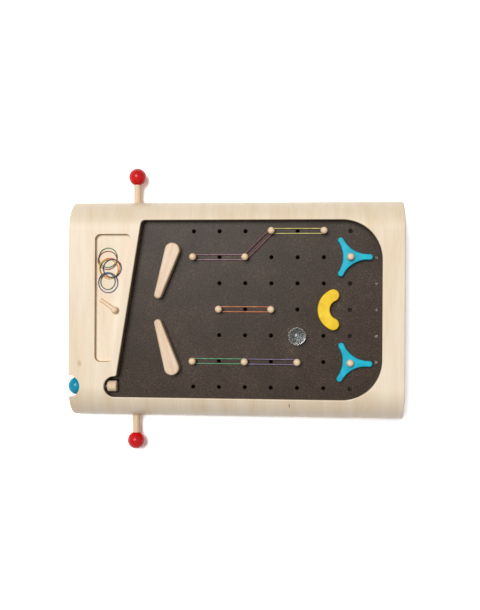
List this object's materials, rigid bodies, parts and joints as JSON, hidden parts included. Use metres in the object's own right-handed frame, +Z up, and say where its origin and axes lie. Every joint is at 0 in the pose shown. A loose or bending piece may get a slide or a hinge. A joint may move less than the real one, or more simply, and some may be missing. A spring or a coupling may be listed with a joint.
{
  "type": "bagatelle game",
  "caption": "Sloping wooden tabletop bagatelle with push-rod flippers, a sprung plunger, pegs with elastic bands, spinning stars, a crescent and a glass marble.",
  "frame": {"origin": "on the table under the middle of the whole game", "axes": "+X up the slope, from the plunger end to the far end; +Y to the upper long side; +Z up from the table"},
  "size_m": [0.3914, 0.3332, 0.0769],
  "materials": {
    "deck_wood": "pale birch, thin satin lacquer",
    "board": "dark brown hardboard, fine matt grain",
    "light_wood": "pale wood, bare",
    "flipper_wood": "pale wood, sanded and lacquered",
    "peg_wood": "turned pale wood, bare",
    "red_paint": "wood with gloss red lacquer",
    "blue_paint": "wood with gloss blue lacquer",
    "star_paint": "wood with satin blue lacquer",
    "yellow_paint": "wood with satin yellow lacquer",
    "clear_glass": "clear, polished",
    "steel": "drawn steel",
    "spring_steel": "spring wire",
    "brass": "turned brass",
    "rubber": "matt black rubber",
    "mauve_elastic": "elastic band",
    "red_elastic": "elastic band",
    "yellow_elastic": "elastic band",
    "orange_elastic": "elastic band",
    "green_elastic": "elastic band",
    "purple_elastic": "elastic band",
    "indigo_elastic": "elastic band",
    "teal_elastic": "elastic band"
  },
  "bodies": {
    "frame": {"deck": "deck_wood", "play_board": "board", "plunger_block": "light_wood", "plunger_bush": "brass", "board_screws": "steel", "rubber_feet": "rubber", "upper_rod_guide": "light_wood", "lower_rod_guide": "light_wood", "mauve_band": "mauve_elastic", "red_band": "red_elastic", "yellow_band": "yellow_elastic", "orange_band": "orange_elastic", "green_band": "green_elastic", "purple_band": "purple_elastic", "spare_green_band": "green_elastic", "spare_red_band": "red_elastic", "spare_orange_band": "orange_elastic", "spare_yellow_band": "yellow_elastic", "spare_indigo_band": "indigo_elastic", "spare_purple_band": "purple_elastic", "spare_teal_band": "teal_elastic", "spare_peg": "peg_wood"},
    "upper_push_rod": {"upper_knob": "red_paint", "upper_push_rod": "light_wood", "upper_rod_collar": "light_wood", "upper_drive_pin": "steel", "upper_rod_spring": "spring_steel"},
    "upper_flipper": {"upper_flipper": "flipper_wood", "upper_flipper_shaft": "light_wood", "upper_lever": "light_wood"},
    "lower_push_rod": {"lower_knob": "red_paint", "lower_push_rod": "light_wood", "lower_rod_collar": "light_wood", "lower_drive_pin": "steel", "lower_rod_spring": "spring_steel"},
    "lower_flipper": {"lower_flipper": "flipper_wood", "lower_flipper_shaft": "light_wood", "lower_lever": "light_wood"},
    "plunger": {"plunger_knob": "blue_paint", "plunger_rod": "steel", "plunger_head": "light_wood", "plunger_spring": "spring_steel"},
    "peg_1": {"peg_1": "peg_wood"},
    "peg_2": {"peg_2": "peg_wood"},
    "peg_3": {"peg_3": "peg_wood"},
    "peg_4": {"peg_4": "peg_wood"},
    "peg_5": {"peg_5": "peg_wood"},
    "peg_6": {"peg_6": "peg_wood"},
    "peg_7": {"peg_7": "peg_wood"},
    "peg_8": {"peg_8": "peg_wood"},
    "peg_9": {"peg_9": "peg_wood"},
    "upper_star_peg": {"upper_star_peg": "peg_wood"},
    "upper_star": {"upper_star": "star_paint"},
    "lower_star_peg": {"lower_star_peg": "peg_wood"},
    "lower_star": {"lower_star": "star_paint"},
    "crescent": {"crescent": "yellow_paint", "crescent_dowel": "peg_wood"},
    "marble": {"marble": "clear_glass"}
  },
  "joints": [
    {"name": "upper_push", "type": "slide", "parent": "frame", "child": "upper_push_rod", "axis": [0, -1, 0], "range_m": [0, 0.01661], "stiffness_N_per_m": 120, "springref_m": -0.006, "deforming": ["upper_rod_spring"]},
    {"name": "upper_swing", "type": "hinge", "parent": "frame", "child": "upper_flipper", "pos_m": [-0.07312, 0.0676, 0.03905], "axis": [-0.0872, 0, 0.9962], "range_deg": [0, 20]},
    {"name": "lower_push", "type": "slide", "parent": "frame", "child": "lower_push_rod", "axis": [0, 1, 0], "range_m": [0, 0.01661], "stiffness_N_per_m": 120, "springref_m": -0.006, "deforming": ["lower_rod_spring"]},
    {"name": "lower_swing", "type": "hinge", "parent": "frame", "child": "lower_flipper", "pos_m": [-0.07312, -0.0676, 0.03905], "axis": [-0.0872, 0, 0.9962], "range_deg": [-20, 0]},
    {"name": "plunger_pull", "type": "slide", "parent": "frame", "child": "plunger", "axis": [-0.9962, 0, -0.0872], "range_m": [0, 0.014], "stiffness_N_per_m": 180, "springref_m": -0.008, "deforming": ["plunger_spring"]},
    {"name": "peg_1_lift", "type": "slide", "parent": "frame", "child": "peg_1", "axis": [-0.0872, 0, 0.9962], "range_m": [0, 0.016]},
    {"name": "peg_2_lift", "type": "slide", "parent": "frame", "child": "peg_2", "axis": [-0.0872, 0, 0.9962], "range_m": [0, 0.016]},
    {"name": "peg_3_lift", "type": "slide", "parent": "frame", "child": "peg_3", "axis": [-0.0872, 0, 0.9962], "range_m": [0, 0.016]},
    {"name": "peg_4_lift", "type": "slide", "parent": "frame", "child": "peg_4", "axis": [-0.0872, 0, 0.9962], "range_m": [0, 0.016]},
    {"name": "peg_5_lift", "type": "slide", "parent": "frame", "child": "peg_5", "axis": [-0.0872, 0, 0.9962], "range_m": [0, 0.016]},
    {"name": "peg_6_lift", "type": "slide", "parent": "frame", "child": "peg_6", "axis": [-0.0872, 0, 0.9962], "range_m": [0, 0.016]},
    {"name": "peg_7_lift", "type": "slide", "parent": "frame", "child": "peg_7", "axis": [-0.0872, 0, 0.9962], "range_m": [0, 0.016]},
    {"name": "peg_8_lift", "type": "slide", "parent": "frame", "child": "peg_8", "axis": [-0.0872, 0, 0.9962], "range_m": [0, 0.016]},
    {"name": "peg_9_lift", "type": "slide", "parent": "frame", "child": "peg_9", "axis": [-0.0872, 0, 0.9962], "range_m": [0, 0.016]},
    {"name": "upper_star_peg_lift", "type": "slide", "parent": "frame", "child": "upper_star_peg", "axis": [-0.0872, 0, 0.9962], "range_m": [0, 0.016]},
    {"name": "upper_star_spin", "type": "hinge", "parent": "upper_star_peg", "child": "upper_star", "pos_m": [0.12971, 0.06, 0.0568], "axis": [-0.0872, 0, 0.9962], "continuous": true},
    {"name": "lower_star_peg_lift", "type": "slide", "parent": "frame", "child": "lower_star_peg", "axis": [-0.0872, 0, 0.9962], "range_m": [0, 0.016]},
    {"name": "lower_star_spin", "type": "hinge", "parent": "lower_star_peg", "child": "lower_star", "pos_m": [0.12971, -0.06, 0.0568], "axis": [-0.0872, 0, 0.9962], "continuous": true},
    {"name": "crescent_turn", "type": "hinge", "parent": "frame", "child": "crescent", "pos_m": [0.09982, 0, 0.05418], "axis": [-0.0872, 0, 0.9962], "continuous": true},
    {"name": "marble_roll", "type": "slide", "parent": "frame", "child": "marble", "axis": [-0.9962, 0, -0.0872], "range_m": [0, 0.112]}
  ],
  "couplings": [
    {"joint": "upper_swing", "follows": "upper_push", "rad_per_m": 21.015},
    {"joint": "lower_swing", "follows": "lower_push", "rad_per_m": -21.015}
  ]
}
